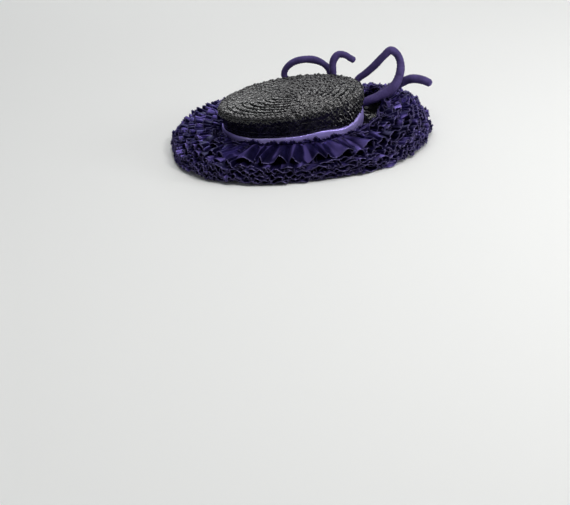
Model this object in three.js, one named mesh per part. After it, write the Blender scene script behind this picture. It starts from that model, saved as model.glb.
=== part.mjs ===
// Small oval tilt hat. A flared pillbox crown of straw braid stands on a shallow
// straw brim. A folded ribbon band runs round its foot, five rows of pleated ribbon
// cover the brim, and a bow of stuffed cloth tube sits behind the crown.
//
// Millimetres, +Z up. The hat rests on the flat ring under its rim, on z = 0.
// -X is the front of the hat, +X the back. All sections below are laid out round
// the middle of the brim, and the whole hat is then moved by SHIFT_X so that the
// origin lies under the middle of its outline.

import * as THREE from "three";

// ------------------------------------------------------------------ sizes (mm)
const SHIFT_X = -4.4;         // the bow's tail reaches past the rim at the back
const STRAW = 2.0;            // straw wall
const GAP = 0.4;              // air between neighbouring pieces
const ROUND_CROWN = 56;       // stations round the crown and its band
const ROUND_BRIM = 64;        // stations round the brim

const CROWN_X = -6.8;         // the crown stands a little forward
const CROWN_SLOPE = 0.054;    // its top rises towards the back
const CROWN_FOOT_Z = 11.4;
const CROWN_TOP_Z = 44.5;
const OVAL_PULL = 13.0;       // half width = r * r / (r + OVAL_PULL)

// Outer face of the crown: half length r at height z, from the top's middle to the foot.
const CROWN_PROFILE = [
  { r: 0.0, z: 44.2 },
  { r: 40.0, z: 44.7 },
  { r: 61.0, z: 44.9 },
  { r: 70.6, z: 44.3 },
  { r: 72.4, z: 42.6 },
  { r: 72.6, z: 39.5 },
  { r: 71.2, z: 33.0 },
  { r: 69.2, z: 25.0 },
  { r: 67.1, z: 18.0 },
  { r: 65.0, z: CROWN_FOOT_Z },
];

// Brim: t runs from the head opening (0) to the rim (1).
const BRIM_INNER = { x: CROWN_X, rx: 60.8, ry: 50.1 };
const BRIM_RIM = { x: 0, rx: 119, ry: 112 };
const BRIM_REST_T = 0.93;     // the flat ring under the rim starts here
const BRIM_TOP = [
  { t: 0.0, z: 11.0 },
  { t: 0.25, z: 9.4 },
  { t: 0.5, z: 7.2 },
  { t: 0.75, z: 4.8 },
  { t: 1.0, z: 2.4 },
];

// Band: heights and thickness by angle round the crown (0 is the back, 180 the front).
const BAND = [
  { angle: 0, top: 25.0, foot: 12.0, thick: 3.6, flare: 3.0 },
  { angle: 50, top: 24.2, foot: 12.0, thick: 2.2, flare: 1.2 },
  { angle: 110, top: 23.2, foot: 12.0, thick: 2.0, flare: 1.2 },
  { angle: 180, top: 23.6, foot: 12.0, thick: 2.0, flare: 4.2 },
  { angle: 250, top: 22.8, foot: 12.0, thick: 2.0, flare: 3.2 },
  { angle: 310, top: 23.8, foot: 12.0, thick: 2.6, flare: 3.0 },
  { angle: 360, top: 25.0, foot: 12.0, thick: 3.6, flare: 3.0 },
];

// Ruffles: q runs from the ruffles' inner oval (0) to their outer oval (1).
const RUFFLE_INNER = { x: -1, rx: 83, ry: 63 };
const RUFFLE_OUTER = { x: 0, rx: 131.5, ry: 124 };
// The rim and the ruffles are a little squarer than an oval, most at the back.
const SQUARE_FRONT = 2.22;
const SQUARE_BACK = 2.45;
const PLEATS = 48;
const PLEAT_HALF = 0.75;      // half the height of the pleated wall
const ROOT_SWING = 0.5;       // rise and fall of the pleats where they are sewn
const EDGE_POINT_Q = 0.012;   // the pleats' edge runs in and out by this much
const LEG_Q = 0.035;          // thickness of the first row's upright part
const LEG_FOOT_Z = 9.9;
// One row per tier: where it is sewn (root), its free edge, how much further out and lower
// the edge lies on the near side, the swing of its pleats at the edge, and how far root
// and edge stand back where the bow lies.
const TIERS = [
  { name: "ruffle_tier_1", rootQ: 0.0, rootZ: 18.8, edgeQ: 0.6, edgeZ: 20.0, nearQ: 0.09, nearDrop: 4.0, swing: 2.4, rootBack: 0.42, edgeBack: 0.05, leg: true },
  { name: "ruffle_tier_2", rootQ: 0.22, rootZ: 12.2, edgeQ: 0.8, edgeZ: 17.6, nearQ: 0.04, nearDrop: 3.9, swing: 2.2, rootBack: 0.27, edgeBack: 0.0, leg: false },
  { name: "ruffle_tier_3", rootQ: 0.38, rootZ: 9.9, edgeQ: 0.925, edgeZ: 13.9, nearQ: 0.02, nearDrop: 2.9, swing: 2.0, rootBack: 0.14, edgeBack: 0.0, leg: false },
  { name: "ruffle_tier_4", rootQ: 0.54, rootZ: 7.6, edgeQ: 0.975, edgeZ: 9.6, nearQ: 0.01, nearDrop: 2.0, swing: 1.8, rootBack: 0.0, edgeBack: 0.0, leg: false },
  { name: "ruffle_tier_5", rootQ: 0.72, rootZ: 5.2, edgeQ: 0.99, edgeZ: 4.0, nearQ: 0.0, nearDrop: 0.6, swing: 1.5, rootBack: 0.0, edgeBack: 0.0, leg: false },
];
const NEAR_ANGLE = 268;       // the ruffles hang lower round this angle
const NEAR_HALF = 75;
const BACK_GAIN = 0.12;       // and stand this much higher at the back
const NOTCH_ANGLE = 35;       // the ruffles stand back round this angle
const NOTCH_HALF = 36;

// Bow: centre line and radius of each stuffed tube.
const TUBE_SIDES = 8;
const KNOT = { x: 55, y: 48, z: 20, rx: 8.2, ry: 8.2, rz: 7.6 };
const BOW = [
  {
    name: "bow_loop_back", steps: 30, colour: 0x53366e,
    line: [
      { x: 57.5, y: 39.8, z: 15.6, r: 2.6 },
      { x: 63.2, y: 28.6, z: 16.8, r: 3.7 },
      { x: 70.7, y: 22.0, z: 23.0, r: 4.2 },
      { x: 85.7, y: 22.0, z: 27.6, r: 4.5 },
      { x: 98.6, y: 23.5, z: 33.4, r: 4.7 },
      { x: 106.2, y: 28.5, z: 42.0, r: 4.6 },
      { x: 110.3, y: 36.0, z: 53.4, r: 4.5 },
      { x: 108.2, y: 42.0, z: 63.0, r: 4.3 },
      { x: 101.9, y: 43.0, z: 68.4, r: 4.1 },
      { x: 93.9, y: 44.0, z: 62.8, r: 3.9 },
      { x: 84.6, y: 46.0, z: 53.5, r: 3.8 },
      { x: 74.8, y: 48.0, z: 45.3, r: 3.8 },
      { x: 65.5, y: 50.0, z: 38.5, r: 3.6 },
      { x: 59.6, y: 49.0, z: 28.4, r: 2.6 },
    ],
  },
  {
    name: "bow_tail_back", steps: 22, colour: 0x53366e,
    line: [
      { x: 61.6, y: 41.2, z: 19.4, r: 2.6 },
      { x: 69.5, y: 33.0, z: 18.7, r: 4.0 },
      { x: 86.8, y: 34.5, z: 24.6, r: 4.4 },
      { x: 98.9, y: 36.0, z: 30.6, r: 4.5 },
      { x: 109.3, y: 35.5, z: 35.2, r: 4.5 },
      { x: 120.7, y: 29.0, z: 40.2, r: 4.5 },
      { x: 130.6, y: 23.0, z: 39.6, r: 4.5 },
      { x: 138.4, y: 19.0, z: 36.4, r: 4.3 },
    ],
  },
  {
    name: "bow_loop_front", steps: 28, colour: 0x4b3065,
    line: [
      { x: 49.7, y: 51.4, z: 27.2, r: 2.6 },
      { x: 39.3, y: 58.6, z: 40.7, r: 3.3 },
      { x: 36.6, y: 61.5, z: 50.2, r: 3.4 },
      { x: 27.4, y: 64.5, z: 57.9, r: 3.6 },
      { x: 15.6, y: 66.5, z: 60.9, r: 3.7 },
      { x: 1.6, y: 68.0, z: 59.2, r: 3.6 },
      { x: -7.4, y: 69.0, z: 53.0, r: 3.5 },
      { x: -10.6, y: 69.5, z: 45.4, r: 3.4 },
      { x: -7.0, y: 69.5, z: 39.6, r: 3.4 },
      { x: 6.3, y: 69.0, z: 33.8, r: 3.4 },
      { x: 25.8, y: 64.5, z: 28.6, r: 3.3 },
      { x: 46.8, y: 52.6, z: 22.4, r: 2.6 },
    ],
  },
  {
    name: "bow_tail_front", steps: 20, colour: 0x4b3065,
    line: [
      { x: 54.0, y: 45.6, z: 29.2, r: 2.6 },
      { x: 46.4, y: 47.8, z: 35.2, r: 3.0 },
      { x: 42.2, y: 51.2, z: 41.0, r: 3.4 },
      { x: 40.8, y: 51.6, z: 51.2, r: 3.5 },
      { x: 42.0, y: 52.0, z: 60.6, r: 3.6 },
      { x: 47.5, y: 53.0, z: 66.4, r: 3.6 },
      { x: 54.2, y: 53.0, z: 65.6, r: 3.5 },
      { x: 59.6, y: 52.5, z: 61.8, r: 3.4 },
      { x: 64.0, y: 52.0, z: 58.7, r: 3.3 },
    ],
  },
];

// ------------------------------------------------------------------- materials
const straw = () => new THREE.MeshStandardMaterial({ color: 0x17161a, roughness: 0.34, metalness: 0 });
const satin = (colour) => new THREE.MeshStandardMaterial({ color: colour, roughness: 0.45, metalness: 0 });
const cloth = (colour) => new THREE.MeshStandardMaterial({ color: colour, roughness: 0.8, metalness: 0 });

// --------------------------------------------------------------------- helpers
const rad = THREE.MathUtils.degToRad;
const mix = THREE.MathUtils.lerp;

// Value of a table's column at a key, in straight lines between its rows.
function along(table, key, column, at) {
  for (let i = 1; i < table.length; i += 1) {
    const a = table[i - 1];
    const b = table[i];
    const low = Math.min(a[key], b[key]);
    const high = Math.max(a[key], b[key]);
    if (at >= low && at <= high) {
      return mix(a[column], b[column], (at - a[key]) / (b[key] - a[key]));
    }
  }
  const first = table[0];
  const last = table[table.length - 1];
  return Math.abs(at - first[key]) < Math.abs(at - last[key]) ? first[column] : last[column];
}

// Turns a closed geometry's faces outwards.
function facingOut(geometry) {
  const p = geometry.getAttribute("position");
  const index = geometry.getIndex();
  const [a, b, c] = [new THREE.Vector3(), new THREE.Vector3(), new THREE.Vector3()];
  let volume = 0;
  for (let i = 0; i < index.count; i += 3) {
    a.fromBufferAttribute(p, index.getX(i));
    b.fromBufferAttribute(p, index.getX(i + 1));
    c.fromBufferAttribute(p, index.getX(i + 2));
    volume += a.dot(b.cross(c));
  }
  if (volume < 0) {
    for (let i = 0; i < index.count; i += 3) {
      const keep = index.getX(i);
      index.setX(i, index.getX(i + 2));
      index.setX(i + 2, keep);
    }
  }
  geometry.computeVertexNormals();
  return geometry;
}

// Solid ring: the same closed section, one list of points for each station round it.
function ringSolid(stations) {
  const around = stations.length;
  const section = stations[0].length;
  const positions = stations.flat().flatMap((p) => [p.x, p.y, p.z]);
  const indices = [];
  for (let i = 0; i < around; i += 1) {
    const next = (i + 1) % around;
    for (let k = 0; k < section; k += 1) {
      const l = (k + 1) % section;
      const [a, b, c, d] = [i * section + k, next * section + k, next * section + l, i * section + l];
      indices.push(a, b, c, a, c, d);
    }
  }
  const geometry = new THREE.BufferGeometry();
  geometry.setAttribute("position", new THREE.Float32BufferAttribute(positions, 3));
  geometry.setIndex(indices);
  return facingOut(geometry);
}

// Stuffed tube along a smooth line through the rows, with closed, slightly rounded ends.
function stuffedTube(line, steps) {
  const curve = new THREE.CatmullRomCurve3(line.map((p) => new THREE.Vector3(p.x, p.y, p.z)), false, "centripetal");
  const frames = curve.computeFrenetFrames(steps, false);
  const last = line.length - 1;
  const positions = [];
  const indices = [];
  for (let i = 0; i <= steps; i += 1) {
    const u = i / steps;
    const t = curve.getUtoTmapping(u) * last;
    const row = Math.min(Math.floor(t), last - 1);
    const end = i === 0 || i === steps ? 0.8 : 1;
    const r = mix(line[row].r, line[row + 1].r, t - row) * end;
    const centre = curve.getPointAt(u);
    for (let k = 0; k < TUBE_SIDES; k += 1) {
      const angle = (k / TUBE_SIDES) * 2 * Math.PI;
      const p = centre.clone()
        .addScaledVector(frames.normals[i], r * Math.cos(angle))
        .addScaledVector(frames.binormals[i], r * Math.sin(angle));
      positions.push(p.x, p.y, p.z);
    }
  }
  for (let i = 0; i < steps; i += 1) {
    for (let k = 0; k < TUBE_SIDES; k += 1) {
      const l = (k + 1) % TUBE_SIDES;
      const [a, b] = [i * TUBE_SIDES, (i + 1) * TUBE_SIDES];
      indices.push(a + k, b + k, b + l, a + k, b + l, a + l);
    }
  }
  const far = steps * TUBE_SIDES;
  for (let k = 1; k < TUBE_SIDES - 1; k += 1) {
    indices.push(0, k, k + 1, far, far + k + 1, far + k);
  }
  const geometry = new THREE.BufferGeometry();
  geometry.setAttribute("position", new THREE.Float32BufferAttribute(positions, 3));
  geometry.setIndex(indices);
  return facingOut(geometry);
}

// Moves every point of a lathed geometry: place(radius, angle, height) gives its new place.
function reshape(geometry, place) {
  const p = geometry.getAttribute("position");
  for (let i = 0; i < p.count; i += 1) {
    const r = Math.hypot(p.getX(i), p.getZ(i));
    const angle = r > 1e-6 ? Math.atan2(p.getZ(i), p.getX(i)) : 0;
    const v = place(r, angle, p.getY(i));
    p.setXYZ(i, v.x, v.y, v.z);
  }
  return facingOut(geometry);
}

// ----------------------------------------------------------------------- crown
function crownPoint(r, angle, z) {
  const x = r * Math.cos(angle);
  const y = ((r * r) / (r + OVAL_PULL)) * Math.sin(angle);
  const lift = (CROWN_SLOPE * x * (z - CROWN_FOOT_Z)) / (CROWN_TOP_Z - CROWN_FOOT_Z);
  return new THREE.Vector3(CROWN_X + x, y, z + lift);
}

// The profile moved inwards by the wall's thickness.
function innerProfile(profile, wall) {
  return profile.map((p, i) => {
    const before = profile[Math.max(i - 1, 0)];
    const after = profile[Math.min(i + 1, profile.length - 1)];
    const run = new THREE.Vector2(after.r - before.r, after.z - before.z).normalize();
    const r = i === 0 ? 0 : p.r + run.y * wall;
    const z = i === profile.length - 1 ? p.z : p.z - run.x * wall;
    return { r, z: i === 0 ? p.z - wall : z };
  });
}

function crownGeometry() {
  const outer = CROWN_PROFILE;
  const inner = innerProfile(outer, STRAW).reverse();
  const points = [...outer, ...inner].map((p) => new THREE.Vector2(p.r, p.z));
  return reshape(new THREE.LatheGeometry(points, ROUND_CROWN), crownPoint);
}

const crownRadius = (z) => along(CROWN_PROFILE.slice(5), "z", "r", z);

// A point between an inner oval and a squarer outer one.
function betweenOvals(inner, outer, t, angle, z) {
  const [c, s] = [Math.cos(angle), Math.sin(angle)];
  const power = 2 / (c > 0 ? SQUARE_BACK : SQUARE_FRONT);
  const outX = outer.x + outer.rx * Math.sign(c) * Math.abs(c) ** power;
  const outY = outer.ry * Math.sign(s) * Math.abs(s) ** power;
  return new THREE.Vector3(mix(inner.x + inner.rx * c, outX, t), mix(inner.ry * s, outY, t), z);
}

// 1 at an angle, falling smoothly to 0 at half a width to each side of it.
function hump(angle, middle, half) {
  const off = Math.abs(THREE.MathUtils.radToDeg(angle) - middle);
  const near = Math.min(off, 360 - off) / half;
  return near < 1 ? Math.cos(near * Math.PI * 0.5) ** 2 : 0;
}

// ------------------------------------------------------------------------ brim
const brimPoint = (t, angle, z) => betweenOvals(BRIM_INNER, BRIM_RIM, t, angle, z);

function brimGeometry() {
  const top = BRIM_TOP.map((p) => ({ t: p.t, z: p.z }));
  const under = BRIM_TOP.slice(0, -1).map((p) => ({ t: p.t, z: p.z - STRAW })).reverse();
  const loop = [...top, { t: 1, z: 0 }, { t: BRIM_REST_T, z: 0 }, ...under, top[0]];
  const points = loop.map((p) => new THREE.Vector2(1 + p.t, p.z));
  return reshape(new THREE.LatheGeometry(points, ROUND_BRIM), (r, angle, z) => brimPoint(r - 1, angle, z));
}

// ------------------------------------------------------------------------ band
function bandGeometry() {
  const stations = [];
  for (let i = 0; i < ROUND_CROWN; i += 1) {
    const degrees = (i / ROUND_CROWN) * 360;
    const [top, foot, thick, flare] = ["top", "foot", "thick", "flare"].map((c) => along(BAND, "angle", c, degrees));
    const at = (off, z) => crownPoint(crownRadius(z) + GAP + off, rad(degrees), z);
    stations.push([
      at(0, foot),
      at(0, top),
      at(thick * 0.65, top),
      at(thick, top - 2.6),
      at(thick + flare * 0.45, mix(top, foot, 0.6)),
      at(thick + flare, foot),
    ]);
  }
  return ringSolid(stations);
}

// --------------------------------------------------------------------- ruffles
const rufflePoint = (q, angle, z) => betweenOvals(RUFFLE_INNER, RUFFLE_OUTER, q, angle, z);

function tierGeometry(tier) {
  const stations = [];
  for (let i = 0; i < 2 * PLEATS; i += 1) {
    const angle = (i / (2 * PLEATS)) * 2 * Math.PI;
    const fold = i % 2 ? 1 : -1;
    const back = hump(angle, NOTCH_ANGLE, NOTCH_HALF);
    const near = hump(angle, NEAR_ANGLE, NEAR_HALF);
    const gain = 1 + BACK_GAIN * Math.max(Math.cos(angle), 0) ** 2;
    const rootQ = tier.rootQ + tier.rootBack * back;
    const edgeQ = tier.edgeQ + tier.nearQ * near + tier.edgeBack * back + EDGE_POINT_Q * fold;
    const rootZ = tier.rootZ + ROOT_SWING * fold;
    const edgeZ = (tier.edgeZ - tier.nearDrop * near) * gain + tier.swing * fold;
    const at = (q, z) => rufflePoint(q, angle, z);
    const leg = tier.leg ? [at(rootQ, LEG_FOOT_Z), at(rootQ + LEG_Q, LEG_FOOT_Z)] : [];
    const underQ = tier.leg ? rootQ + LEG_Q : rootQ;
    stations.push([
      at(rootQ, rootZ + PLEAT_HALF),
      ...leg,
      at(underQ, rootZ - PLEAT_HALF),
      at(edgeQ, edgeZ - PLEAT_HALF),
      at(edgeQ, edgeZ + PLEAT_HALF),
    ]);
  }
  return ringSolid(stations);
}

// -------------------------------------------------------------------- the hat
function piece(name, geometry, material) {
  const mesh = new THREE.Mesh(geometry, material);
  mesh.name = name;
  return mesh;
}

const strawBody = new THREE.Group();
strawBody.add(piece("crown", crownGeometry(), straw()));
strawBody.add(piece("brim", brimGeometry(), straw()));

const ribbons = new THREE.Group();
ribbons.add(piece("band", bandGeometry(), satin(0x6a4b86)));
for (const tier of TIERS) {
  ribbons.add(piece(tier.name, tierGeometry(tier), satin(0x4c2f66)));
}

const bow = new THREE.Group();
for (const tube of BOW) {
  bow.add(piece(tube.name, stuffedTube(tube.line, tube.steps), cloth(tube.colour)));
}
const knot = piece("bow_knot", new THREE.SphereGeometry(1, 14, 10), cloth(0x4b3065));
knot.scale.set(KNOT.rx, KNOT.ry, KNOT.rz);
knot.position.set(KNOT.x, KNOT.y, KNOT.z);
bow.add(knot);

const hat = new THREE.Group();
hat.name = "tilt_hat";
hat.add(strawBody, ribbons, bow);
hat.position.x = SHIFT_X;

export default hat;
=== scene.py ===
import math

import bpy
import numpy as np
from mathutils import Matrix, Vector


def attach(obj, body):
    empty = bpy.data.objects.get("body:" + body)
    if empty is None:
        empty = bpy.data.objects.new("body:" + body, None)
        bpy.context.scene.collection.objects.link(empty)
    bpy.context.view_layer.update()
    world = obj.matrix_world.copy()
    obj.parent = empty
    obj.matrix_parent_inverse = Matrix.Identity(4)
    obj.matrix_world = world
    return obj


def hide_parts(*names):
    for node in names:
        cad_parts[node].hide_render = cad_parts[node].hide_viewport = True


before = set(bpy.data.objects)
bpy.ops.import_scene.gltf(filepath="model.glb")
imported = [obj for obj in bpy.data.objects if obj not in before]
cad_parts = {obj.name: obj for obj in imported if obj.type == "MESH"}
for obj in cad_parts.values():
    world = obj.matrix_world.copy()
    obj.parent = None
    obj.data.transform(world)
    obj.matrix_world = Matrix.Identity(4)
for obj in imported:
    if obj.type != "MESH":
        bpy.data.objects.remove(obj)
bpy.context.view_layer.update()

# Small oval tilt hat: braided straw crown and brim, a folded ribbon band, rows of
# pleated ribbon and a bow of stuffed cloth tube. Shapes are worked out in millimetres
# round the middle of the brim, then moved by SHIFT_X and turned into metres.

RNG = np.random.default_rng(4117)
SHIFT_X = -4.4
TAU = 2.0 * math.pi

CROWN_X = -6.8
CROWN_SLOPE = 0.054
CROWN_FOOT_Z = 11.4
CROWN_TOP_Z = 44.5
OVAL_PULL = 13.0
CROWN_PROFILE = [(0.0, 44.2), (40.0, 44.7), (61.0, 44.9), (69.4, 44.5), (71.6, 43.9), (72.5, 42.6),
                 (72.6, 39.5), (71.2, 33.0), (69.2, 25.0), (67.1, 18.0), (65.0, 11.4)]

BRIM_INNER = (-6.8, 60.8, 50.1)      # middle x, half length, half width
BRIM_RIM = (0.0, 119.0, 112.0)
BRIM_TOP = [(0.0, 11.0), (0.25, 9.4), (0.5, 7.2), (0.75, 4.8), (1.0, 2.4)]

# angle, top, foot, thickness, flare at the foot
BAND = [(0, 25.0, 12.0, 3.6, 3.0), (50, 24.2, 12.0, 2.2, 1.2), (110, 23.2, 12.0, 2.0, 1.2),
        (180, 23.6, 12.0, 2.0, 4.2), (250, 22.8, 12.0, 2.0, 3.2), (310, 23.8, 12.0, 2.6, 3.0),
        (360, 25.0, 12.0, 3.6, 3.0)]

RUFFLE_INNER = (-1.0, 83.0, 63.0)
RUFFLE_OUTER = (0.0, 131.5, 124.0)
SQUARE_FRONT, SQUARE_BACK = 2.22, 2.45
NEAR_ANGLE, NEAR_HALF = 268.0, 75.0
BACK_GAIN = 0.12
NOTCH_ANGLE, NOTCH_HALF = 35.0, 36.0


# ----------------------------------------------------------------- mesh building
def to_m(p):
    return (np.asarray(p, dtype=float) + np.array([SHIFT_X, 0.0, 0.0])) / 1000.0


def smooth_line(points, rounds=3):
    p = np.asarray(points, dtype=float)
    for _ in range(rounds):
        q = 0.75 * p[:-1] + 0.25 * p[1:]
        r = 0.25 * p[:-1] + 0.75 * p[1:]
        mid = np.empty((2 * len(q), p.shape[1]))
        mid[0::2], mid[1::2] = q, r
        p = np.vstack([p[:1], mid, p[-1:]])
    return p


def build_mesh(name, verts_mm, quads, tris=None, uv=None, wrap=None, floats=None):
    """A mesh object from arrays: quads and triangles, one UV per vertex, float attributes."""
    verts = to_m(verts_mm)
    quads = np.asarray(quads, dtype=np.int64).reshape(-1, 4)
    tris = np.asarray(tris if tris is not None else [], dtype=np.int64).reshape(-1, 3)
    loops = np.concatenate([quads.ravel(), tris.ravel()])
    starts = np.concatenate([np.arange(len(quads)) * 4, len(quads) * 4 + np.arange(len(tris)) * 3])
    me = bpy.data.meshes.new(name)
    me.vertices.add(len(verts))
    me.vertices.foreach_set("co", verts.astype(np.float32).ravel())
    me.loops.add(len(loops))
    me.loops.foreach_set("vertex_index", loops.astype(np.int32))
    me.polygons.add(len(starts))
    me.polygons.foreach_set("loop_start", starts.astype(np.int32))
    me.update(calc_edges=True)
    if uv is not None:
        layer = me.uv_layers.new(name="UVMap")
        per_loop = np.asarray(uv, dtype=float)[loops]
        if wrap:
            q = per_loop[: len(quads) * 4].reshape(-1, 4, 2)
            wide = (q[:, :, 0].max(1) - q[:, :, 0].min(1)) > wrap * 0.5
            q[:, :, 0] = np.where(wide[:, None] & (q[:, :, 0] < wrap * 0.5), q[:, :, 0] + wrap, q[:, :, 0])
        layer.data.foreach_set("uv", per_loop.astype(np.float32).ravel())
    for key, values in (floats or {}).items():
        attr = me.attributes.new(key, "FLOAT", "POINT")
        attr.data.foreach_set("value", np.asarray(values, dtype=np.float32).ravel())
    me.polygons.foreach_set("use_smooth", np.ones(len(starts), dtype=bool))
    me.validate()
    me.update()
    obj = bpy.data.objects.new(name, me)
    bpy.context.scene.collection.objects.link(obj)
    return obj


def grid_normals(p, closed_u):
    if closed_u:
        du = np.roll(p, -1, 0) - np.roll(p, 1, 0)
    else:
        du = np.gradient(p, axis=0)
    dv = np.gradient(p, axis=1)
    n = np.cross(du, dv)
    return n / np.maximum(np.linalg.norm(n, axis=2, keepdims=True), 1e-9)


def sheet_solid(name, p, thick, closed_u, uv=None, wrap=None, floats=None):
    """A thin closed wall round a grid of points p[u, v]."""
    nu, nv, _ = p.shape
    n = grid_normals(p, closed_u)
    t = np.asarray(thick, dtype=float)
    t = t if t.ndim == 0 else t[:, :, None]
    verts = np.concatenate([(p + n * t * 0.5).reshape(-1, 3), (p - n * t * 0.5).reshape(-1, 3)])
    idx = np.arange(nu * nv).reshape(nu, nv)
    a = idx if closed_u else idx[:-1]
    b = np.roll(idx, -1, 0) if closed_u else idx[1:]
    off = nu * nv
    quads = [np.stack([a[:, :-1], b[:, :-1], b[:, 1:], a[:, 1:]], -1).reshape(-1, 4),
             np.stack([a[:, :-1], a[:, 1:], b[:, 1:], b[:, :-1]], -1).reshape(-1, 4) + off,
             np.stack([a[:, -1], b[:, -1], b[:, -1] + off, a[:, -1] + off], -1),
             np.stack([b[:, 0], a[:, 0], a[:, 0] + off, b[:, 0] + off], -1)]
    if not closed_u:
        s, e = idx[0], idx[-1]
        quads.append(np.stack([s[:-1], s[1:], s[1:] + off, s[:-1] + off], -1))
        quads.append(np.stack([e[1:], e[:-1], e[:-1] + off, e[1:] + off], -1))
    two = lambda x: np.concatenate([np.asarray(x).reshape(nu * nv, -1)] * 2)
    return build_mesh(name, verts, np.concatenate(quads), uv=None if uv is None else two(uv), wrap=wrap,
                      floats={k: two(v)[:, 0] for k, v in (floats or {}).items()})


def wobble(n, knots, amount, rng=RNG):
    """A smooth closed random line of n values."""
    k = rng.normal(size=knots)
    x = np.arange(n) / n * knots
    i = np.floor(x).astype(int)
    f = x - i
    f = f * f * (3 - 2 * f)
    return amount * (k[i % knots] * (1 - f) + k[(i + 1) % knots] * f)


def ring_value(table, column, degrees):
    t = np.asarray(table, dtype=float)
    d = np.mod(degrees, 360.0)
    i = np.clip(np.searchsorted(t[:, 0], d, side="right") - 1, 0, len(t) - 2)
    f = (d - t[i, 0]) / (t[i + 1, 0] - t[i, 0])
    f = f * f * (3 - 2 * f)
    return t[i, column] * (1 - f) + t[i + 1, column] * f


def between_ovals(inner, outer, t, angle, z):
    """A point between an inner oval and a squarer outer one."""
    c, s = np.cos(angle), np.sin(angle)
    power = 2.0 / np.where(c > 0, SQUARE_BACK, SQUARE_FRONT)
    x1 = outer[0] + outer[1] * np.sign(c) * np.abs(c) ** power
    y1 = outer[2] * np.sign(s) * np.abs(s) ** power
    return np.stack([(inner[0] + inner[1] * c) * (1 - t) + x1 * t, inner[2] * s * (1 - t) + y1 * t, z + 0.0 * t], -1)


def hump(angle, middle, half):
    off = np.abs(np.mod(np.degrees(angle) - middle + 180.0, 360.0) - 180.0) / half
    return np.where(off < 1, np.cos(np.minimum(off, 1) * math.pi * 0.5) ** 2, 0.0)


# -------------------------------------------------------------------- materials
def new_material(name):
    m = bpy.data.materials.new(name)
    m.use_nodes = True
    nt = m.node_tree
    bsdf = nt.nodes["Principled BSDF"]
    return m, nt, bsdf


def node(nt, kind, **values):
    n = nt.nodes.new(kind)
    for k, v in values.items():
        if k in n.inputs.keys():
            n.inputs[k].default_value = v
        else:
            setattr(n, k, v)
    return n


def ramp(nt, fac, stops):
    r = nt.nodes.new("ShaderNodeValToRGB")
    el = r.color_ramp.elements
    while len(el) < len(stops):
        el.new(0.5)
    for e, (pos, col) in zip(el, stops):
        e.position = pos
        e.color = (*col, 1.0) if len(col) == 3 else col
    nt.links.new(fac, r.inputs["Fac"])
    return r.outputs["Color"]


def bump(nt, height, strength, distance, normal=None):
    b = nt.nodes.new("ShaderNodeBump")
    b.inputs["Strength"].default_value = strength
    b.inputs["Distance"].default_value = distance
    nt.links.new(height, b.inputs["Height"])
    if normal is not None:
        nt.links.new(normal, b.inputs["Normal"])
    return b.outputs["Normal"]


def straw_material():
    m, nt, bsdf = new_material("straw_black")
    tone = node(nt, "ShaderNodeAttribute", attribute_name="tone")
    col = ramp(nt, tone.outputs["Fac"], [(0.0, (0.002, 0.002, 0.003)), (0.6, (0.006, 0.006, 0.008)), (1.0, (0.02, 0.02, 0.023))])
    nt.links.new(col, bsdf.inputs["Base Color"])
    uv = node(nt, "ShaderNodeUVMap", uv_map="UVMap")
    grain_map = node(nt, "ShaderNodeMapping")
    grain_map.inputs["Scale"].default_value = (900.0, 3000.0, 1.0)
    nt.links.new(uv.outputs["UV"], grain_map.inputs["Vector"])
    grain = node(nt, "ShaderNodeTexNoise", Scale=1.0, Detail=3.0, Roughness=0.6)
    nt.links.new(grain_map.outputs["Vector"], grain.inputs["Vector"])
    rough = node(nt, "ShaderNodeMapRange")
    rough.inputs["From Min"].default_value = 0.25
    rough.inputs["From Max"].default_value = 0.75
    rough.inputs["To Min"].default_value = 0.05
    rough.inputs["To Max"].default_value = 0.2
    nt.links.new(grain.outputs["Fac"], rough.inputs["Value"])
    nt.links.new(rough.outputs["Result"], bsdf.inputs["Roughness"])
    nt.links.new(bump(nt, grain.outputs["Fac"], 0.25, 0.0002), bsdf.inputs["Normal"])
    bsdf.inputs["Specular IOR Level"].default_value = 0.6
    bsdf.inputs["Coat Weight"].default_value = 0.1
    bsdf.inputs["Coat Roughness"].default_value = 0.2
    return m


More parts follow.
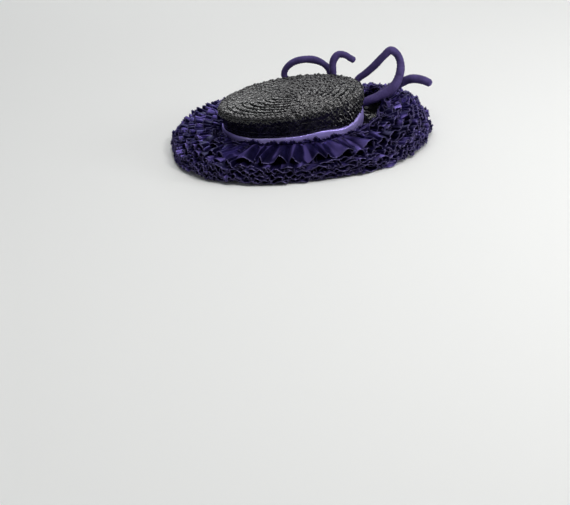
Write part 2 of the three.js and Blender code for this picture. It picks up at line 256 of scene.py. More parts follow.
def ribbon_material(name, dark, mid, light, edge_colour, rough_lo, rough_hi, metallic, thread):
    m, nt, bsdf = new_material(name)
    uv = node(nt, "ShaderNodeUVMap", uv_map="UVMap")
    geo = node(nt, "ShaderNodeTexCoord")
    tone = node(nt, "ShaderNodeAttribute", attribute_name="tone")
    col = ramp(nt, tone.outputs["Fac"], [(0.1, dark), (0.5, mid), (0.95, light)])
    edge = node(nt, "ShaderNodeAttribute", attribute_name="edge")
    mix = node(nt, "ShaderNodeMix", data_type="RGBA")
    nt.links.new(edge.outputs["Fac"], mix.inputs["Factor"])
    nt.links.new(col, mix.inputs[6])
    mix.inputs[7].default_value = (*edge_colour, 1.0)
    nt.links.new(mix.outputs[2], bsdf.inputs["Base Color"])
    weave_map = node(nt, "ShaderNodeMapping")
    weave_map.inputs["Scale"].default_value = (thread, thread * 0.8, 1.0)
    nt.links.new(uv.outputs["UV"], weave_map.inputs["Vector"])
    warp = node(nt, "ShaderNodeTexWave", wave_type="BANDS", bands_direction="X", Scale=1.0, Distortion=0.6, Detail=1.0)
    weft = node(nt, "ShaderNodeTexWave", wave_type="BANDS", bands_direction="Y", Scale=1.0, Distortion=0.6, Detail=1.0)
    nt.links.new(weave_map.outputs["Vector"], warp.inputs["Vector"])
    nt.links.new(weave_map.outputs["Vector"], weft.inputs["Vector"])
    weave = node(nt, "ShaderNodeMath", operation="MULTIPLY")
    nt.links.new(warp.outputs["Fac"], weave.inputs[0])
    nt.links.new(weft.outputs["Fac"], weave.inputs[1])
    crease = node(nt, "ShaderNodeTexNoise", Scale=140.0, Detail=4.0, Roughness=0.6)
    nt.links.new(geo.outputs["Object"], crease.inputs["Vector"])
    n1 = bump(nt, crease.outputs["Fac"], 0.18, 0.0012)
    n2 = bump(nt, weave.outputs["Value"], 0.12, 0.00012, n1)
    nt.links.new(n2, bsdf.inputs["Normal"])
    rough = node(nt, "ShaderNodeMapRange")
    rough.inputs["To Min"].default_value = rough_lo
    rough.inputs["To Max"].default_value = rough_hi
    nt.links.new(crease.outputs["Fac"], rough.inputs["Value"])
    nt.links.new(rough.outputs["Result"], bsdf.inputs["Roughness"])
    bsdf.inputs["Specular IOR Level"].default_value = 0.18
    bsdf.inputs["Metallic"].default_value = metallic
    bsdf.inputs["Specular Tint"].default_value = (0.3, 0.24, 0.75, 1.0)
    return m


def bow_material():
    m, nt, bsdf = new_material("bow_cloth")
    uv = node(nt, "ShaderNodeUVMap", uv_map="UVMap")
    geo = node(nt, "ShaderNodeTexCoord")
    soft = node(nt, "ShaderNodeTexNoise", Scale=120.0, Detail=4.0, Roughness=0.6)
    nt.links.new(geo.outputs["Object"], soft.inputs["Vector"])
    col = ramp(nt, soft.outputs["Fac"], [(0.3, (0.045, 0.03, 0.125)), (0.55, (0.07, 0.048, 0.185)), (0.78, (0.095, 0.068, 0.235))])
    nt.links.new(col, bsdf.inputs["Base Color"])
    weave_map = node(nt, "ShaderNodeMapping")
    weave_map.inputs["Scale"].default_value = (1900.0, 1900.0, 1.0)
    weave_map.inputs["Rotation"].default_value = (0.0, 0.0, math.radians(45.0))
    nt.links.new(uv.outputs["UV"], weave_map.inputs["Vector"])
    warp = node(nt, "ShaderNodeTexWave", wave_type="BANDS", bands_direction="X", Scale=0.5, Distortion=1.0, Detail=2.0)
    weft = node(nt, "ShaderNodeTexWave", wave_type="BANDS", bands_direction="Y", Scale=0.5, Distortion=1.0, Detail=2.0)
    nt.links.new(weave_map.outputs["Vector"], warp.inputs["Vector"])
    nt.links.new(weave_map.outputs["Vector"], weft.inputs["Vector"])
    weave = node(nt, "ShaderNodeMath", operation="ADD")
    nt.links.new(warp.outputs["Fac"], weave.inputs[0])
    nt.links.new(weft.outputs["Fac"], weave.inputs[1])
    n1 = bump(nt, soft.outputs["Fac"], 0.25, 0.001)
    nt.links.new(bump(nt, weave.outputs["Value"], 0.3, 0.00015, n1), bsdf.inputs["Normal"])
    bsdf.inputs["Roughness"].default_value = 0.72
    bsdf.inputs["Specular IOR Level"].default_value = 0.35
    bsdf.inputs["Sheen Weight"].default_value = 0.12
    bsdf.inputs["Sheen Roughness"].default_value = 0.4
    bsdf.inputs["Sheen Tint"].default_value = (0.5, 0.42, 0.9, 1.0)
    return m


STRAW = straw_material()
RUFFLE = ribbon_material("ruffle_ribbon", (0.0055, 0.0042, 0.024), (0.0165, 0.012, 0.066), (0.17, 0.13, 0.44),
                         (0.125, 0.108, 0.235), 0.26, 0.44, 0.5, 2600.0)
BAND_SATIN = ribbon_material("band_satin", (0.4, 0.33, 0.86), (0.48, 0.4, 0.95), (0.58, 0.5, 0.98),
                             (0.35, 0.3, 0.6), 0.24, 0.38, 0.4, 2600.0)
BOW_CLOTH = bow_material()


# ------------------------------------------------------------------ straw braid
def plait(l, y, strand):
    """Height and tone of a flat plait: l along it, y across it, both in millimetres."""
    k = strand * math.sqrt(2.0)
    a, b = (l + y) / k, (l - y) / k
    ia, ib = np.floor(a), np.floor(b)
    fa, fb = a - ia - 0.5, b - ib - 0.5
    over = np.where(np.mod(ia + ib, 2) < 0.5, 1.0, -1.0)
    ha = 0.55 * (1 - np.abs(2 * fa) ** 2.2) + 0.45 * over * np.cos(math.pi * fb)
    hb = 0.55 * (1 - np.abs(2 * fb) ** 2.2) - 0.45 * over * np.cos(math.pi * fa)
    h = np.maximum(ha, hb)
    cell = np.where(ha > hb, ia * 12.9898 + 3.7, ib * 78.233 + 11.1)
    tone = np.mod(np.sin(cell) * 43758.5453, 1.0)
    tip = np.mod(np.sin(ia * 7.13 + ib * 31.7) * 9631.17, 1.0) - 0.5
    h = h + 2.6 * tip * np.where(ha > hb, fb, fa) + 0.35 * (tone - 0.5)
    return h, tone


def braid_strip(name, surface, spiral, half_width, step, across, under, thick, lift, relief, strand, seed, strength, settle):
    """Sewn braid: one long strip laid on surface(s, angle) along spiral(angle) -> s."""
    rng = np.random.default_rng(seed)
    a0, a1, start = spiral["from"], spiral["to"], spiral["s"]
    angles, length = [a0], [0.0]
    while angles[-1] < a1:
        a = angles[-1]
        s = start(a)
        d = np.linalg.norm(surface(np.array([s]), np.array([a + 0.01]))[0] - surface(np.array([s]), np.array([a - 0.01]))[0]) / 0.02
        angles.append(a + min(step / max(d, 1e-6), 0.22))
        length.append(length[-1] + min(step, 0.22 * d))
    angles, length = np.array(angles), np.array(length)
    n = len(angles)
    w = np.linspace(-1.0, 1.0, across)
    s_mid = np.array([start(a) for a in angles])
    lumps = np.interp(length, np.arange(0, length[-1] + 12, 6.0), rng.normal(size=len(np.arange(0, length[-1] + 12, 6.0))))
    wide = half_width * (1 + 0.03 * lumps + 0.05 * np.cos(TAU * length / (strand * 2.83)))
    s = s_mid[:, None] + w[None, :] * wide[:, None]
    s = np.maximum(s, 0.05)
    ang = np.repeat(angles[:, None], across, 1)
    p = surface(s.ravel(), ang.ravel()).reshape(n, across, 3)
    e = 0.02
    ds = surface(s.ravel() + 0.2, ang.ravel()) - surface(np.maximum(s.ravel() - 0.2, 0.01), ang.ravel())
    da = surface(s.ravel(), ang.ravel() + e) - surface(s.ravel(), ang.ravel() - e)
    nrm = np.cross(ds, da)
    nrm /= np.maximum(np.linalg.norm(nrm, axis=1, keepdims=True), 1e-9)
    nrm = nrm.reshape(n, across, 3)
    y = w[None, :] * wide[:, None]
    h, tone = plait(np.repeat(length[:, None], across, 1), y, strand)
    h = h * strength(s, ang)
    tilt = lift * settle(s_mid)[:, None] * w[None, :]
    round_edge = np.clip((1 - np.abs(w)) / 0.18, 0, 1) ** 0.5
    top = tilt + relief * h * (0.35 + 0.65 * round_edge[None, :]) + 0.18 * lumps[:, None] - (1 - round_edge[None, :]) * thick * 0.8
    upper = p + nrm * top[:, :, None]
    pick = np.round(np.linspace(0, across - 1, under)).astype(int)
    low = (tilt - thick - relief * 0.5 * h + 0.18 * lumps[:, None] + (1 - round_edge[None, :]) * thick * 0.1)
    lower = (p + nrm * low[:, :, None])[:, pick]
    ring = np.concatenate([upper, lower[:, ::-1]], 1)
    m = ring.shape[1]
    idx = np.arange(n * m).reshape(n, m)
    nxt = np.roll(idx, -1, 1)
    quads = np.stack([idx[:-1], nxt[:-1], nxt[1:], idx[1:]], -1).reshape(-1, 4)
    caps = [[idx[0, 0], idx[0, k + 1], idx[0, k]] for k in range(1, m - 1)] + [[idx[-1, 0], idx[-1, k], idx[-1, k + 1]] for k in range(1, m - 1)]
    uvw = np.concatenate([np.stack([np.repeat(length[:, None], across, 1), y], -1), np.stack([np.repeat(length[:, None], across, 1), y], -1)[:, pick][:, ::-1]], 1) / 1000.0
    tones = np.concatenate([tone, tone[:, pick][:, ::-1]], 1)
    return build_mesh(name, ring.reshape(-1, 3), quads, caps, uv=uvw.reshape(-1, 2), floats={"tone": tones.ravel()})


profile = smooth_line(CROWN_PROFILE)
profile_s = np.concatenate([[0.0], np.cumsum(np.linalg.norm(np.diff(profile, axis=0), axis=1))])


def crown_point(r, angle, z):
    x = r * np.cos(angle)
    y = r * r / (r + OVAL_PULL) * np.sin(angle)
    lift = CROWN_SLOPE * x * (z - CROWN_FOOT_Z) / (CROWN_TOP_Z - CROWN_FOOT_Z)
    return np.stack([CROWN_X + x, y, z + lift], -1)


def crown_surface(s, angle):
    return crown_point(np.interp(s, profile_s, profile[:, 0]), angle, np.interp(s, profile_s, profile[:, 1]))


def crown_radius(z):
    side = np.array(CROWN_PROFILE[5:])[::-1]
    return np.interp(z, side[:, 1], side[:, 0])


def crown_relief(s, angle):
    wall = np.clip((s - 74.0) / 4.0, 0, 1)
    rim = np.exp(-(((s - 70.0) / 6.0) ** 2))
    quiet = 0.18 + 1.5 * hump(angle, 348.0, 70.0)
    return (0.8 + 0.35 * rim) * (1 - wall) + quiet * wall


CROWN_PITCH = 7.6
crown_turns = (profile_s[-1] - 4.1) / CROWN_PITCH
crown = braid_strip("crown_braid", crown_surface,
                    {"from": math.pi * 0.5, "to": math.pi * 0.5 + TAU * crown_turns,
                     "s": lambda a: 3.9 + CROWN_PITCH * (a - math.pi * 0.5) / TAU},
                    half_width=4.7, step=0.82, across=14, under=6, thick=1.0, lift=1.1, relief=1.85, strand=3.3, seed=3, strength=crown_relief,
                    settle=lambda s: 1 - 0.85 * np.clip((s - 72.0) / 4.0, 0, 1))
crown.data.materials.append(STRAW)
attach(crown, "root")
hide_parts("crown")

brim_line = np.array(BRIM_TOP)


def brim_surface(s, angle):
    t = np.clip(s / 60.0, 0.0, 1.0)
    z = np.interp(t, brim_line[:, 0], brim_line[:, 1]) - 0.45
    return between_ovals(BRIM_INNER, BRIM_RIM, t, angle, z)


brim = braid_strip("brim_braid", brim_surface,
                   {"from": 0.0, "to": TAU * 6.8, "s": lambda a: 4.4 + 7.5 * a / TAU},
                   half_width=4.5, step=2.2, across=11, under=9, thick=1.0, lift=0.5, relief=0.7, strand=2.2, seed=5, strength=lambda s, angle: np.ones_like(s),
                   settle=np.ones_like)
brim.data.materials.append(STRAW)
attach(brim, "root")
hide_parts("brim")


# ------------------------------------------------------------------ ribbon band
def make_band():
    n, rows = 320, 22
    deg = np.arange(n) / n * 360.0
    ang = np.radians(deg)
    top, foot, thick, flare = (ring_value(BAND, c, deg) for c in (1, 2, 3, 4))
    top = top + wobble(n, 26, 0.25) - 4.2 * hump(ang, 321.0, 30.0)
    # offset from the crown and height, from behind the fold over its top to the foot
    section = smooth_line([(0.15, -6.0), (0.1, -1.4), (0.35, 0.0), (0.75, 0.1), (0.98, -1.8), (1.0, -4.5), (1.02, -7.5), (1.0, -11.0)], 2)
    run = np.concatenate([[0], np.cumsum(np.linalg.norm(np.diff(section * np.array([2.4, 1.0]), axis=0), axis=1))])
    at = np.linspace(0, run[-1], rows)
    so, sz = np.interp(at, run, section[:, 0]), np.interp(at, run, section[:, 1])
    v = np.linspace(0, 1, rows)
    height = top - foot
    z = top[:, None] + sz[None, :] * (height[:, None] / 11.0)
    down = np.clip(-sz / 11.0, 0, 1)
    off = 0.55 + so[None, :] * thick[:, None] * 0.9 + flare[:, None] * (down ** 0.75)[None, :]
    # soft lengthwise folds that wander round the band
    phase = wobble(n, 9, 0.8)
    fold = np.sin((v[None, :] * 3.1 + phase[:, None]) * TAU) * np.clip((v - 0.45) / 0.2, 0, 1)[None, :]
    off = off + 0.33 * fold * (0.6 + 0.4 * np.sin(ang * 3.0 + 1.0))[:, None]
    off = off + wobble(n, 60, 0.1)[:, None] * np.clip((v - 0.4) / 0.3, 0, 1)[None, :]
    p = crown_point(crown_radius(z) + off, np.repeat(ang[:, None], rows, 1), z)
    uv = np.stack([np.repeat(ang[:, None] * 0.066, rows, 1), np.repeat(v[None, :] * 0.022, n, 0)], -1)
    edge = np.repeat(np.clip((v - 0.97) / 0.03, 0, 1)[None, :], n, 0) * 0.5
    return sheet_solid("band_ribbon", p, 0.4, True, uv=uv, wrap=TAU * 0.066, floats={"edge": edge, "tone": np.repeat(np.clip(0.5 + wobble(n, 14, 0.25), 0, 1)[:, None], rows, 1)})


band = make_band()
band.data.materials.append(BAND_SATIN)
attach(band, "root")
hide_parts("band")


# ---------------------------------------------------------------------- ruffles
def ruffle_point(q, angle, z):
    return between_ovals(RUFFLE_INNER, RUFFLE_OUTER, q, angle, z)


def patchy(rng, n, rows, along, across):
    """Smooth random values on a closed strip of n by rows points."""
    ku, kv = max(int(n / along), 4), max(int(rows / across), 2) + 1
    k = rng.normal(size=(ku, kv))
    x, y = np.arange(n) / n * ku, np.linspace(0, kv - 1.001, rows)
    i, j = np.floor(x).astype(int), np.floor(y).astype(int)
    f, g = x - i, y - j
    f, g = (f * f * (3 - 2 * f))[:, None], (g * g * (3 - 2 * g))[None, :]
    at = lambda a, b: k[np.ix_(a % ku, b)]
    return (at(i, j) * (1 - f) + at(i + 1, j) * f) * (1 - g) + (at(i, j + 1) * (1 - f) + at(i + 1, j + 1) * f) * g


def pleated(rng, tier, layer, steps):
    """One strip of pleated ribbon laid round the brim: its points, ribbon width and cut length."""
    q0, z0 = tier["root"][0], tier["root"][1] + layer["root_z"]
    q1, z1 = layer["q1"][1], layer["z1"][1]
    rows, steps = layer.get("rows", tier["rows"]), layer.get("steps", steps)
    fine = np.linspace(0, TAU, 2001)
    qm = 0.4 * q0 + 0.6 * q1
    line = ruffle_point(np.full_like(fine, qm), fine, np.zeros_like(fine))
    arc = np.concatenate([[0], np.cumsum(np.linalg.norm(np.diff(line, axis=0), axis=1))])
    # pleat borders, wider along the near side
    cuts = [0.0]
    while cuts[-1] < arc[-1]:
        a = np.interp(cuts[-1], arc, fine)
        wide = float(hump(np.array(a), tier["wide_at"], 62.0))
        pitch = tier["pitch"][1] + (tier["pitch"][0] - tier["pitch"][1]) * wide
        cuts.append(cuts[-1] + pitch * math.exp(rng.normal(0, 0.24)))
    cuts = np.array(cuts) * arc[-1] / cuts[-1]
    pleats = len(cuts) - 1
    mids = 0.5 * (cuts[1:] + cuts[:-1])
    phi = np.arange(steps) / steps
    u = (cuts[:-1, None] + phi[None, :] * np.diff(cuts)[:, None]).ravel()
    width = np.repeat(np.diff(cuts), steps)
    ph = np.tile(phi, pleats) * TAU
    n = len(u)
    angle = np.interp(u, arc, fine)
    over = np.concatenate([mids - arc[-1], mids, mids + arc[-1]])
    smooth = lambda x: np.interp(u, over, np.tile(x, 3))
    rep = lambda x: np.repeat(x, steps)
    near = hump(angle, tier["wide_at"], 62.0)
    up = rep(rng.uniform(0.45, 1.3, pleats)) * (tier["up"][1] + (tier["up"][0] - tier["up"][1]) * near)
    down = rep(rng.uniform(0.45, 1.3, pleats)) * (tier["down"][1] + (tier["down"][0] - tier["down"][1]) * near)
    lean = smooth(rng.normal(0, tier["lean"], pleats)) + wobble(n, 44, 0.7, rng) * (1 - near)
    curl = smooth(rng.uniform(0.03, 0.2, pleats))
    reach = smooth(rng.normal(0, tier["reach"], pleats))
    lift = smooth(rng.normal(0, tier["lift"], pleats)) + wobble(n, 26, 0.9, rng) * (1 - 0.6 * near)
    reach = reach + wobble(n, 22, 1.1, rng)
    tone = smooth(rng.uniform(0, 1, pleats) ** 1.9)
    lift = lift + tier["far"] * (hump(angle, 128.0, 45.0) + 0.6 * hump(angle, 40.0, 40.0))
    # painted light: each patch raises the ribbon tone where the smooth satin catches the light; calm flattens the
    # pleats there and drop lowers the edge and pushes it out
    for at, half, painted_light_boost, calm, drop in tier["patches"]:
        here = hump(angle, at, half)
        tone = tone + painted_light_boost * here
        up, down = up * (1 - calm * here), down * (1 - calm * here)
        lift, reach = lift - drop * here, reach + 0.6 * drop * here
    v = np.append(np.linspace(0, 0.965, rows - 1), 1.0)
    dip = hump(angle, NOTCH_ANGLE, NOTCH_HALF)
    hang = hump(angle, NEAR_ANGLE, NEAR_HALF)
    # short upper layers run out under the wide pleats of the near side
    tuck = layer.get("tuck", 0.0) * np.clip(hang * 1.8, 0, 1)
    up, down, lift, reach = up * (1 - tuck), down * (1 - tuck), lift * (1 - tuck), reach * (1 - tuck)
    gain = 1 + BACK_GAIN * np.maximum(np.cos(angle), 0) ** 2
    qa = q0 + tier["back"][0] * dip - tier["snug"] * hump(angle, 180.0, 60.0)
    qb = q1 + (layer["q1"][0] - q1) * hang + tier["back"][1] * dip
    qb = np.maximum(qb, qa + 0.05)
    zb = (z1 + (layer["z1"][0] - z1) * hang) * gain
    q = qa[:, None] + (qb - qa)[:, None] * v[None, :]
    z = z0 + (zb - z0)[:, None] * v[None, :] + tier["bulge"] * np.sin(math.pi * v)[None, :] - 3.0 * tuck[:, None]
    base = ruffle_point(q, np.repeat(angle[:, None], rows, 1), z)
    nrm = grid_normals(base, True)
    nrm *= np.where(nrm[:, :, 2:3] < 0, -1, 1)
    tan = np.roll(base, -1, 0) - np.roll(base, 1, 0)
    tan /= np.linalg.norm(tan, axis=2, keepdims=True)
    out = np.cross(tan, nrm)
    s = np.clip((v - tier["free"]) / (1 - tier["free"]), 0, 1)
    grow = 0.1 + 0.9 * s ** 0.9
    sine = np.sin(ph)
    sharp = np.arcsin(sine) * 2 / math.pi
    wave = sine * (1 - near) + (0.2 * sine + 0.8 * sharp) * near
    sway = np.where(wave > 0, up, down) * wave
    side = -curl * width * np.sin(2 * ph) * (1 - 0.8 * near)
    petal = near * np.maximum(wave, 0)
    off = sway[:, None] * grow[None, :] + lift[:, None] * (v ** 1.5)[None, :]
    off = off + (0.35 + 0.65 * (1 - near))[:, None] * patchy(rng, n, rows, 6.0, 2.5) * (0.3 + 0.7 * v)[None, :]
    p = base + nrm * off[:, :, None]
    p = p + tan * (side[:, None] * (1.3 - 0.4 * v)[None, :] + (lean * width)[:, None] * (v ** 1.2)[None, :])[:, :, None]
    p = p + out * (reach[:, None] * (v ** 2)[None, :] + tier["petal"][0] * (near * wave)[:, None] * (v ** 3)[None, :])[:, :, None]
    p = p - nrm * (tier["petal"][1] * petal[:, None] * (v ** 4)[None, :])[:, :, None]
    # fine picot along the free edge
    tip = np.where(np.arange(n) % 2 == 0, 0.7, -0.2)
    last = p[:, -1] - p[:, -2]
    last /= np.maximum(np.linalg.norm(last, axis=1, keepdims=True), 1e-6)
    p[:, -1] += last * tip[:, None]
    # the lowest folds are pressed flat where the hat rests
    low = p[:, :, 2] - 0.5
    p[:, :, 2] = 0.5 + np.where(low < 1.2, 1.2 * np.exp(np.minimum(low - 1.2, 0.0) / 1.2), low)
    cut = np.concatenate([[0], np.cumsum(np.linalg.norm(np.diff(p[:, int(rows * 0.7)], axis=0), axis=1))])
    ribbon_w = np.linalg.norm(np.diff(p, axis=1), axis=2).sum(1).mean()
    uv = np.stack([np.repeat(cut[:, None], rows, 1), np.repeat(v[None, :] * ribbon_w, n, 0)], -1) / 1000.0
    edge = np.repeat(np.where(v > 0.99, 1.0, 0.0)[None, :], n, 0)
    # painted light and shade: on the wide pleats one side of each pleat is painted lighter and the other darker,
    # standing for its lit and shaded sides
    painted_flank_light = np.clip(0.5 + 1.3 * np.cos(ph), 0, 1) * rep(rng.uniform(0.3, 1.5, pleats)) * tier["painted_flank_gain"]
    tone = tone * (1 - 0.85 * near) + 0.85 * near * painted_flank_light
    tones = np.clip(tone[:, None] + (0.14 + 0.2 * (1 - near))[:, None] * patchy(rng, n, rows, 5.0, 2.2), 0, 1)
    return p, uv, edge, tones, ribbon_w / 1000.0, cut[-1] / 1000.0


def heading(rng, tier):
    """The narrow frill that stands up along the first row's seam."""
    pitch, steps, rows = 4.6, 10, 5
    fine = np.linspace(0, TAU, 1201)
    line = ruffle_point(np.zeros_like(fine), fine, np.zeros_like(fine))
    arc = np.concatenate([[0], np.cumsum(np.linalg.norm(np.diff(line, axis=0), axis=1))])
    pleats = int(arc[-1] / pitch)
    n = pleats * steps
    u = (np.arange(n) + 0.5 * np.sin(np.arange(n) * 0.37)) / n * arc[-1]
    angle = np.interp(u, arc, fine)
    ph = np.arange(n) / steps * TAU + wobble(n, pleats // 2, 0.7, rng)
    tall = np.repeat(rng.uniform(0.35, 1.25, pleats), steps)
    tall = np.interp(np.arange(n), np.arange(n)[steps // 2::steps], tall[steps // 2::steps])
    v = np.linspace(0, 1, rows)
    dip = hump(angle, NOTCH_ANGLE, NOTCH_HALF)
    q = tier["root"][0] + tier["back"][0] * dip + 0.012
    radial = 0.9 * np.sin(ph)[:, None] * (0.4 + 0.6 * v)[None, :] / 55.0 - 0.02 * v[None, :] * tall[:, None]
    z = tier["root"][1] - 1.6 + 4.4 * tall[:, None] * v[None, :]
    p = ruffle_point(q[:, None] + radial, np.repeat(angle[:, None], rows, 1), z)
    tan = np.roll(p, -1, 0) - np.roll(p, 1, 0)
    tan /= np.linalg.norm(tan, axis=2, keepdims=True)
    p = p + tan * (0.75 * np.cos(2 * ph)[:, None] * v[None, :])[:, :, None]
    tip = np.where(np.arange(n) % 2 == 0, 0.4, -0.1)
    p[:, -1, 2] += tip
    cut = np.concatenate([[0], np.cumsum(np.linalg.norm(np.diff(p[:, 3], axis=0), axis=1))])
    uv = np.stack([np.repeat(cut[:, None], rows, 1), np.repeat(v[None, :] * 4.0, n, 0)], -1) / 1000.0
    edge = np.repeat(np.where(v > 0.99, 0.8, 0.0)[None, :], n, 0)
    tones = np.clip(0.45 + 0.3 * patchy(rng, n, rows, 12.0, 3.0), 0, 1)
    return p, uv, edge, tones, 0.004, cut[-1] / 1000.0


def strips_to_mesh(name, strips, thick):
    """Joins closed strips of ribbon in one mesh of thin walls."""
    verts, quads, uvs, edges, tones = [], [], [], [], []
    base = 0
    for p, uv, edge, tone, _, _ in strips:
        nu, nv, _ = p.shape
        nrm = grid_normals(p, True)
        verts += [(p + nrm * thick * 0.5).reshape(-1, 3), (p - nrm * thick * 0.5).reshape(-1, 3)]
        idx = np.arange(nu * nv).reshape(nu, nv) + base
        nxt = np.roll(idx, -1, 0)
        far = nu * nv
        quads += [np.stack([idx[:, :-1], nxt[:, :-1], nxt[:, 1:], idx[:, 1:]], -1).reshape(-1, 4),
                  np.stack([idx[:, :-1], idx[:, 1:], nxt[:, 1:], nxt[:, :-1]], -1).reshape(-1, 4) + far,
                  np.stack([idx[:, -1], nxt[:, -1], nxt[:, -1] + far, idx[:, -1] + far], -1),
                  np.stack([nxt[:, 0], idx[:, 0], idx[:, 0] + far, nxt[:, 0] + far], -1)]
        for store, values, k in ((uvs, uv, 2), (edges, edge, 1), (tones, tone, 1)):
            store += [np.asarray(values).reshape(nu * nv, k)] * 2
        base += 2 * nu * nv
    return build_mesh(name, np.concatenate(verts), np.concatenate(quads), uv=np.concatenate(uvs), wrap=None,
                      floats={"edge": np.concatenate(edges)[:, 0], "tone": np.concatenate(tones)[:, 0]})


# pitch, up and down, and each layer's edge (q1, z1): first on the near side, then elsewhere.
# the gain listed first in each tier scales the painted light and shade on its pleat sides; the third number of each
# patch raises the tone as painted light
TIERS = [
    dict(name="ruffle_row_1", painted_flank_gain=1.0, far=2.2, patches=[(290.0, 16.0, 0.6, 0.3, 0.0), (255.0, 9.0, 0.35, 0.2, 0.0)],
         petal=(1.0, -0.4), snug=0.08, root=(0.0, 18.4), back=(0.42, 0.05), pitch=(14.5, 6.6), up=(6.6, 3.0), down=(4.6, 2.4), lean=0.75,
         reach=1.9, lift=0.8, bulge=0.5, free=0.0, rows=11, steps=16, seed=11, wide_at=266.0,
         layers=[dict(q1=(0.70, 0.60), z1=(16.6, 17.4), root_z=-1.8), dict(q1=(0.05, 0.48), z1=(17.6, 18.6), root_z=-1.2, rows=8, steps=11, tuck=0.95),
                 dict(q1=(0.05, 0.36), z1=(17.8, 19.8), root_z=-0.6, rows=7, steps=11, tuck=0.95), dict(q1=(0.05, 0.25), z1=(18.0, 20.9), root_z=0.0, rows=7, steps=11, tuck=0.95),
                 dict(q1=(0.05, 0.14), z1=(18.2, 21.8), root_z=0.5, rows=6, steps=11, tuck=0.95)]),
    dict(name="ruffle_row_2", painted_flank_gain=0.8, far=1.6, patches=[(222.0, 5.0, 0.7, 0.3, 0.0)],
         petal=(1.0, 0.0), snug=0.0, root=(0.22, 12.0), back=(0.27, 0.0), pitch=(9.0, 6.4), up=(2.3, 2.9), down=(1.8, 1.9), lean=0.6,
         reach=1.8, lift=0.8, bulge=0.2, free=0.35, rows=9, steps=13, seed=12, wide_at=266.0,
         layers=[dict(q1=(0.85, 0.80), z1=(11.0, 16.0), root_z=-0.6), dict(q1=(0.79, 0.71), z1=(12.0, 17.6), root_z=0.2)]),
    dict(name="ruffle_row_3", painted_flank_gain=0.55, far=1.0, patches=[(318.0, 6.0, 0.5, 0.3, 0.0)],
         petal=(0.6, 0.0), snug=0.0, root=(0.38, 9.8), back=(0.14, 0.0), pitch=(6.4, 6.0), up=(2.7, 2.6), down=(1.5, 1.7), lean=0.6,
         reach=1.7, lift=0.8, bulge=0.2, free=0.4, rows=9, steps=12, seed=13, wide_at=266.0,
         layers=[dict(q1=(0.945, 0.93), z1=(9.6, 12.2), root_z=-0.6), dict(q1=(0.90, 0.87), z1=(11.2, 14.0), root_z=0.3)]),
    dict(name="ruffle_row_4", painted_flank_gain=0.5, far=0.4, patches=[(274.0, 3.5, 0.8, 0.4, 0.8)],
         petal=(0.6, 0.0), snug=0.0, root=(0.54, 7.6), back=(0.0, 0.0), pitch=(6.2, 6.0), up=(2.4, 2.5), down=(1.4, 1.6), lean=0.6,
         reach=1.5, lift=0.7, bulge=0.1, free=0.4, rows=8, steps=12, seed=14, wide_at=266.0,
         layers=[dict(q1=(0.985, 0.975), z1=(6.0, 7.8), root_z=-0.3), dict(q1=(0.96, 0.95), z1=(7.8, 9.8), root_z=0.3)]),
    dict(name="ruffle_row_5", painted_flank_gain=0.45, far=0.0, patches=[(305.0, 5.0, 0.9, 0.6, 1.6)],
         petal=(0.6, 0.0), snug=0.0, root=(0.72, 5.3), back=(0.0, 0.0), pitch=(6.0, 6.0), up=(2.0, 2.2), down=(1.1, 1.3), lean=0.6,
         reach=1.1, lift=0.4, bulge=0.0, free=0.25, rows=7, steps=12, seed=15, wide_at=266.0,
         layers=[dict(q1=(0.985, 0.985), z1=(2.9, 3.2), root_z=-0.4), dict(q1=(0.98, 0.98), z1=(4.4, 5.2), root_z=0.2)]),
]

for i, tier in enumerate(TIERS):
    rng = np.random.default_rng(tier["seed"])
    strips = [pleated(rng, tier, layer, tier["steps"]) for layer in tier["layers"]]
    if i == 0:
        strips.append(heading(rng, tier))
    row = strips_to_mesh(tier["name"], strips, 0.3)
    row.data.materials.append(RUFFLE)
    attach(row, "root")
    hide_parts("ruffle_tier_%d" % (i + 1))


# -------------------------------------------------------------------------- bow
KNOT = (55.0, 48.0, 20.0)
BOW = [
    ("bow_loop_back", [(57.5, 39.8, 15.6, 2.6), (63.2, 28.6, 16.8, 3.7), (70.7, 22.0, 23.0, 4.2), (85.7, 22.0, 27.6, 4.5),
                       (98.6, 23.5, 33.4, 4.7), (106.2, 28.5, 42.0, 4.6), (110.3, 36.0, 53.4, 4.5), (108.2, 42.0, 63.0, 4.3),
                       (101.9, 43.0, 68.4, 4.1), (93.9, 44.0, 62.8, 3.9), (84.6, 46.0, 53.5, 3.8), (74.8, 48.0, 45.3, 3.8),
                       (65.5, 50.0, 38.5, 3.6), (59.6, 49.0, 28.4, 2.6)], False, 21),
    ("bow_tail_back", [(61.6, 41.2, 19.4, 2.6), (69.5, 33.0, 18.7, 4.0), (86.8, 34.5, 24.6, 4.4), (98.9, 36.0, 30.6, 4.5),
                       (109.3, 35.5, 35.2, 4.5), (120.7, 29.0, 40.2, 4.5), (130.6, 23.0, 39.6, 4.5), (138.4, 19.0, 36.4, 4.3)], True, 22),
    ("bow_loop_front", [(49.7, 51.4, 27.2, 2.6), (39.3, 58.6, 40.7, 3.3), (36.6, 61.5, 50.2, 3.4), (27.4, 64.5, 57.9, 3.6),
                        (15.6, 66.5, 60.9, 3.7), (1.6, 68.0, 59.2, 3.6), (-7.4, 69.0, 53.0, 3.5), (-10.6, 69.5, 45.4, 3.4),
                        (-7.0, 69.5, 39.6, 3.4), (6.3, 69.0, 33.8, 3.4), (25.8, 64.5, 28.6, 3.3), (46.8, 52.6, 22.4, 2.6)], False, 23),
    ("bow_tail_front", [(54.0, 45.6, 29.2, 2.6), (46.4, 47.8, 35.2, 3.0), (42.2, 51.2, 41.0, 3.4), (40.8, 51.6, 51.2, 3.5),
                        (42.0, 52.0, 60.6, 3.6), (47.5, 53.0, 66.4, 3.6), (54.2, 53.0, 65.6, 3.5), (59.6, 52.5, 61.8, 3.4),
                        (64.0, 52.0, 58.7, 3.3)], True, 24),
]


